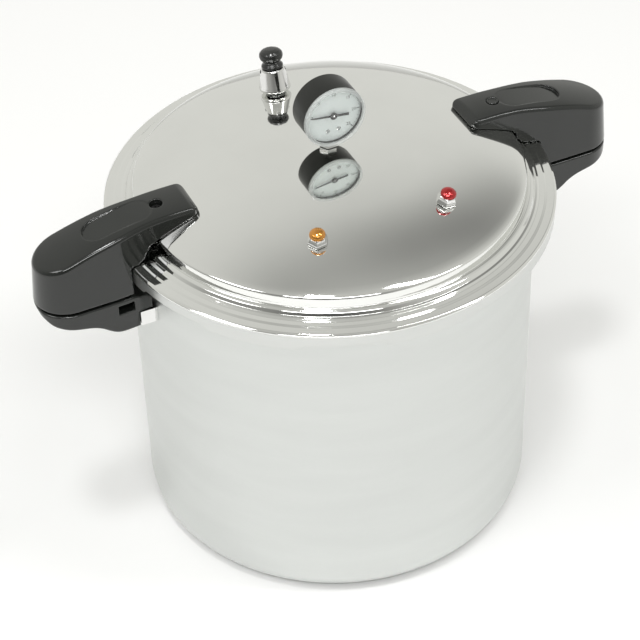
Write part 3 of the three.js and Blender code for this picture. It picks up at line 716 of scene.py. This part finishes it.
def pot_handle_distance(x, y, z):
    """The right pot handle, cut for the wall, its bracket, a window in one flank and its screw."""
    made = both(plan_distance(x, y, z, 0), polygon_distance(POT_SIDE, x, z), 1.6)
    radius = np.sqrt(x * x + y * y)
    made = without(made, radius - (POT_RADIUS + 0.4), 0.4)
    socket = box_distance(x, y, z, (165, -10.4, 239.8), (202.4, 10.4, 251.3))
    made = without(made, socket, 0.3)
    window = box_distance(x, y, z, (176, 12, 254.6), (189, 40, 262.6))
    made = without(made, window, 0.5)
    bore = np.sqrt((x - POT_HANDLE_SCREW) ** 2 + y**2)
    return without(made, np.maximum(bore - 5.5, z - 238.7), 0.4)


STEP = 0.75
lid_handle = surface(lid_handle_distance, (112, -28, 266), (247, 28, 331), STEP)
pot_handle = surface(pot_handle_distance, (158, -28, 233), (247, 28, 270), STEP)
for side, sign in (("right", 1), ("left", -1)):
    turn = np.array([sign, sign, 1])
    for kind, (points, faces), body in (("lid", lid_handle, "lid"), ("pot", pot_handle, "pot")):
        mesh_object(f"{kind}_grip_{side}", points * turn, faces, PHENOLIC, body,
                    [f"{kind}_handle_{side}"], sharp=0)

# The push-in plug over the right handle's screw, with a raised ring
turned("screw_plug", [
    (0, 324.2), (4.6, 324.2, 0.3), (4.6, 327.9, 0.5), (4.1, 328.3, 0.3), (3.3, 328.3, 0.3),
    (3.0, 327.7, 0.2), (0, 327.7)],
    PHENOLIC, "lid", ["lid_handle_plug"], sides=64,
    place=Matrix.Translation((HANDLE_SCREW, 0, -0.1)))

# ---- Weighted regulator ----
VENT = dome_place(VENT_PLACE)
turned("regulator_body", [
    (5.1, 1.6, 0.3), (9.0, 1.6, 1.0), (11.4, 2.2, 1.2), (12.5, 3.4, 1.2), (12.6, 4.8, 1.5),
    (12.2, 6.6, 2.5), (9.7, 19.6, 0.8), (9.1, 20.8, 0.4), (2.4, 20.8, 0.2), (2.4, 18.2, 0.2),
    (5.1, 18.2, 0.2)],
    CHROME, "regulator", ["regulator_weight"], sides=96, closed=True, place=VENT)
turned("regulator_cap", [
    (0, 24.5), (2.3, 24.5, 0.1), (2.3, 21.1, 0.1), (7.7, 21.1, 0.6), (8.8, 22.3, 0.9),
    (8.6, 23.5, 1.0), (6.9, 25.9, 1.0), (7.3, 27.1, 0.8), (9.1, 29.4, 2.0), (9.6, 31.5, 2.5),
    (9.0, 33.9, 2.5), (7.1, 35.8, 2.4), (4.0, 36.9, 2.0), (0, 37.3)],
    KNOB_BLACK, "regulator", ["regulator_knob"], sides=96, place=VENT, steps=5)
for index in range(4):
    # A steam hole's mouth: a blind cup let into the cone, drawn black as painted shade for the hole's dark
    # inside
    angle = math.radians(73 + 90 * index)
    out = Matrix.Rotation(angle, 4, "Z") @ Matrix.Rotation(math.pi / 2 - 0.2, 4, "Y")
    mouth = VENT @ Matrix.Translation((0, 0, 16.6)) @ out
    turned(f"steam_hole_{index + 1}", [
        (0, 7.6), (1.4, 7.6, 0.05), (1.4, 10.35, 0.08), (1.15, 10.25, 0.05), (1.15, 7.9, 0.1),
        (0, 7.9)],
        BLACK_AND_PAINTED_SHADE, "regulator", sides=32, place=mouth)


# ---- Coloured pop-up valves in polished housings ----
def valve(name, place, cap, sides=72):
    """A round-topped cap on a pin, and its housing, whose wall below the cap is a hexagon."""
    at = dome_place(place)
    section = filleted([
        (2.4, -14, 0.2), (4.2, -14, 0.3), (4.2, 0.2), (8.0, 0.5, 0.3), (8.3, 1.4, 0.5), (8.1, 3.0, 0.5),
        (7.6, 3.7, 0.3), (7.4, 4.4, 0.5), (6.5, 6.8, 0.4), (5.7, 7.4, 0.2), (2.4, 7.4, 0.2)], closed=True)
    sections = []
    for i in range(sides):
        # The hexagon's flats lie nearer the axis than its corners
        turn = 2 * math.pi * i / sides
        flat = math.cos(math.pi / 6) / math.cos(turn % (math.pi / 3) - math.pi / 6)
        side = section.copy()
        side[:, 0] *= np.where((side[:, 0] > 5.4) & (side[:, 1] < 7.2), flat, 1)
        sections.append(side)
    points, faces = turned_mesh(sections, closed=True)
    mesh_object(f"{name}_ferrule", moved(points, at), faces, CHROME, "lid",
                [f"{name}_housing"], sharp=20)
    turned(f"{name}_button", [
        (0, -23.8), (2.1, -23.8, 0.3), (2.1, 7.7, 0.1), (5.8, 7.7, 0.3), (6.2, 8.5, 0.8), (5.8, 10.2, 1.6),
        (4.2, 11.6, 2.2), (2.0, 12.4, 2.5), (0, 12.5)],
        cap, name, [f"{name}_pin"], sides=64, place=at, steps=5)


valve("indicator", INDICATOR_PLACE, RED)
valve("safety_valve", SAFETY_PLACE, ORANGE)

# ---- Dial gauge ----
turned("gauge_cup", [
    (0, -10.2), (24.9, -10.2, 1.6), (24.95, 11.6, 0.3), (23.8, 11.6, 0.2), (23.8, -9.0, 1),
    (0, -9.0)],
    CASE_BLACK, "lid", ["gauge_case"], sides=128, place=GAUGE_PLACE)
lens = turned("gauge_window", [
    (0, 13.6), (22.6, 13.6, 0.3), (23.2, 13.2, 0.3), (23.2, 11.9, 0.2), (25.35, 11.9, 0.3),
    (25.4, 14.1, 0.7), (24.6, 14.6, 0.5), (23.0, 14.6, 0.3), (22.4, 14.3, 0.3), (0, 14.3)],
    [LENS, LENS_RING], "lid", ["gauge_lens"], sides=128, place=GAUGE_PLACE)
inverse = GAUGE_PLACE.inverted()
for polygon in lens.data.polygons:
    local = inverse @ (polygon.center / MM)
    polygon.material_index = 1 if math.hypot(local.x, local.y) > 22.5 else 0
turned("gauge_face", [
    (1.7, 8.6, 0.1), (DIAL_RADIUS, 8.6, 0.1), (DIAL_RADIUS, DIAL_FRONT, 0.2),
    (1.7, DIAL_FRONT, 0.1)],
    DIAL, "lid", ["gauge_dial"], sides=128, closed=True, place=GAUGE_PLACE)


def dial_angle(value):
    """The scale runs clockwise from 0 at the left to 25 low on the right."""
    return math.radians(172 - value * 43 / 5)


def dial_marks():
    """The printed scale: flat bars that stand 0.04 mm off the dial."""
    points, faces = [], []
    high = DIAL_FRONT + 0.04
    for value in range(0, 26):
        major = value % 5 == 0
        a = dial_angle(value)
        u = np.array([math.cos(a), math.sin(a)])
        v = np.array([-u[1], u[0]])
        inner, half = (20.0, 0.34) if major else (21.2, 0.16)
        start = len(points)
        for r, s in ((inner, -half), (SCALE_RADIUS, -half), (SCALE_RADIUS, half), (inner, half)):
            points.append([*(u * r + v * s), high])
        faces.append((start, start + 1, start + 2, start + 3))
    spans = 96
    start = len(points)
    for value in np.linspace(0, 25, spans + 1):
        a = dial_angle(value)
        for r in (SCALE_RADIUS - 0.05, SCALE_RADIUS + 0.15):
            points.append([r * math.cos(a), r * math.sin(a), high])
    for i in range(spans):
        b = start + 2 * i
        faces.append((b, b + 2, b + 3, b + 1))
    return np.array(points), faces


mark_points, mark_faces = dial_marks()
mesh_object("gauge_scale", moved(mark_points, GAUGE_PLACE), mark_faces, INK, "lid",
            sharp=0)
for value in range(0, 26, 5):
    text = bpy.data.curves.new(f"numeral_{value}", "FONT")
    text.body = str(value)
    text.size = NUMERAL_SIZE * MM
    text.align_x = "CENTER"
    text.align_y = "CENTER"
    text.extrude = 0.02 * MM
    a = dial_angle(value)
    numeral = bpy.data.objects.new(f"gauge_numeral_{value}", text)
    bpy.context.scene.collection.objects.link(numeral)
    spot = (NUMERAL_RADIUS * math.cos(a), NUMERAL_RADIUS * math.sin(a), DIAL_FRONT + 0.03)
    whole = GAUGE_PLACE @ Matrix.Translation(spot)
    whole.translation = whole.translation * MM
    numeral.matrix_world = whole
    text.materials.append(INK)
    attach(numeral, "lid")

# ---- Parts that keep their own shape: each one's material and the width of its edges' bevel ----
KEPT = {
    "canning_rack": (INSIDE_ALUMINIUM, 0.3),
    "gauge_socket": (CHROME, 0.4),
    "gauge_nut": (STEEL, 0.5),
    "vent_pipe": (STEEL, 0.4),
    "vent_pipe_nut": (STEEL, 0.4),
    "regulator_insert": (STEEL, 0.2),
    "bourdon_tube": (BRASS, 0.3),
    "gauge_sector_gear": (BRASS, 0),
    "gauge_arbor": (CHROME, 0.15),
    "gauge_movement_plate": (BRASS, 0.2),
    "gauge_dial_screw_1": (STEEL, 0.1),
    "gauge_dial_screw_2": (STEEL, 0.1),
    "gauge_pointer": (BLACK_AND_PAINTED_SHADE, 0.1),
    "indicator_nut": (STEEL, 0.4),
    "indicator_clip": (STEEL, 0.2),
    "indicator_seal": (SILICONE, 0.3),
    "safety_valve_nut": (STEEL, 0.4),
    "safety_valve_clip": (STEEL, 0.2),
    "safety_valve_spring": (STEEL, 0),
}
for side in ("right", "left"):
    KEPT[f"pot_handle_bracket_{side}"] = (CHROME, 1.4)
    KEPT[f"pot_handle_screw_{side}"] = (STEEL, 0.3)
    # The lid handles' screws are drawn black: painted shade for the dark screw bores
    KEPT[f"lid_handle_screw_{side}"] = (BLACK_AND_PAINTED_SHADE, 0.3)
    KEPT[f"lid_handle_stud_{side}"] = (STEEL, 0.4)
    for end in ("front", "rear"):
        KEPT[f"bracket_rivet_{side}_{end}"] = (INSIDE_ALUMINIUM, 0.3)
EDGE_ANGLE = math.radians(32)
for name, (look, width) in KEPT.items():
    node = NODES[name]
    node.data.materials.clear()
    node.data.materials.append(look)
    node.data.shade_smooth()
    node.data.set_sharp_from_angle(angle=EDGE_ANGLE)
    if width:
        bevel = node.modifiers.new("edges", "BEVEL")
        bevel.width = width * MM
        bevel.segments = 3
        bevel.limit_method = "ANGLE"
        bevel.angle_limit = EDGE_ANGLE
        bevel.harden_normals = False

# ---- Floor, light and camera ----
floor_mesh = bpy.data.meshes.new("floor")
floor_mesh.from_pydata([(-9, -9, 0), (9, -9, 0), (9, 9, 0), (-9, 9, 0)], [], [(0, 1, 2, 3)])
floor = bpy.data.objects.new("floor", floor_mesh)
bpy.context.scene.collection.objects.link(floor)
floor_mesh.materials.append(
    material("pale_floor", (0.94, 0.94, 0.94), 0.7, shade=0.004, spread=0.02, grain=20, bump=0.0, mottle=2,
             specular=0.2)
)


def bearing(azimuth, elevation):
    """A direction from its azimuth, from +Y towards +X, and its elevation, in degrees."""
    a, e = math.radians(azimuth), math.radians(elevation)
    return Vector((math.sin(a) * math.cos(e), math.cos(a) * math.cos(e), math.sin(e)))


def softbox(name, azimuth, elevation, width, height, radiance, distance=4.0):
    """A rectangular light of an even radiance that faces the lid, its size in degrees of view."""
    light = bpy.data.lights.new(name, "AREA")
    light.shape = "RECTANGLE"
    light.size = 2 * distance * math.tan(math.radians(width) / 2)
    light.size_y = 2 * distance * math.tan(math.radians(height) / 2)
    light.energy = radiance * math.pi * light.size * light.size_y
    made = bpy.data.objects.new(name, light)
    bpy.context.scene.collection.objects.link(made)
    out = bearing(azimuth, elevation)
    target = Vector((0, 0, 0.3))
    made.location = target + out * distance
    made.rotation_mode = "QUATERNION"
    made.rotation_quaternion = (-out).to_track_quat("-Z", "Y")


softbox("overhead_box", -137, 75, 7, 7, 44)
softbox("left_box", -92, 48, 20, 16, 5)
softbox("right_strip", 125, 58, 5, 34, 10)
softbox("camera_box", -155, 48, 40, 10, 8.5)

world = bpy.data.worlds.new("studio")
bpy.context.scene.world = world
world.use_nodes = True
tree = world.node_tree
background = tree.nodes["Background"]
ways = tree.nodes.new("ShaderNodeTexCoord")


def lobe(azimuth, elevation, sharpness):
    """1 in one direction, falling away round it on a bell curve."""
    dot = tree.nodes.new("ShaderNodeVectorMath")
    dot.operation = "DOT_PRODUCT"
    dot.inputs[1].default_value = bearing(azimuth, elevation)
    tree.links.new(ways.outputs["Generated"], dot.inputs[0])
    fall = tree.nodes.new("ShaderNodeMath")
    fall.operation = "MULTIPLY_ADD"
    fall.inputs[1].default_value = sharpness
    fall.inputs[2].default_value = -sharpness
    tree.links.new(dot.outputs["Value"], fall.inputs[0])
    bell = tree.nodes.new("ShaderNodeMath")
    bell.operation = "EXPONENT"
    tree.links.new(fall.outputs["Value"], bell.inputs[0])
    return bell.outputs["Value"]


def dimmed(level, amount, bell):
    """The level, a number or a socket, less an amount of a lobe."""
    less = tree.nodes.new("ShaderNodeMath")
    less.operation = "MULTIPLY_ADD"
    less.inputs[1].default_value = -amount
    tree.links.new(bell, less.inputs[0])
    if isinstance(level, float):
        less.inputs[2].default_value = level
    else:
        tree.links.new(level, less.inputs[2])
    return less.outputs["Value"]


# The studio is evenly bright, with dim patches: three one above another on the right, one
# overhead, a broad one behind the camera and one on the left
level = 0.732
for amount, azimuth, elevation, sharpness in (
    (0.371, 58.8, 65.0, 18.3),
    (0.300, 69.6, 45.3, 35.5),
    (0.231, -35.7, 77.5, 26.3),
    (0.2, 64, 32, 60),
    (0.62, -155, 27, 4),
    (0.3, -95, 15, 9),
):
    level = dimmed(level, amount, lobe(azimuth, elevation, sharpness))
tree.links.new(level, background.inputs["Strength"])
background.inputs["Color"].default_value = (1.0, 1.0, 0.95, 1)

camera_data = bpy.data.cameras.new("camera")
camera_data.sensor_width = 36
camera_data.lens = 118.1
camera_data.clip_start = 0.05
camera_data.clip_end = 50
camera = bpy.data.objects.new("camera", camera_data)
bpy.context.scene.collection.objects.link(camera)
camera_place = (-0.5448, -1.1848, 1.2875)
forward = Vector((0.30976, 0.68874, -0.65550)).normalized()
right = Vector((0.90266, -0.42963, -0.02486)).normalized()
up = right.cross(forward)
turn = Matrix((right, up, -forward)).transposed()
camera.matrix_world = Matrix.Translation(camera_place) @ turn.to_4x4()
bpy.context.scene.camera = camera
bpy.context.scene.view_settings.view_transform = "Standard"
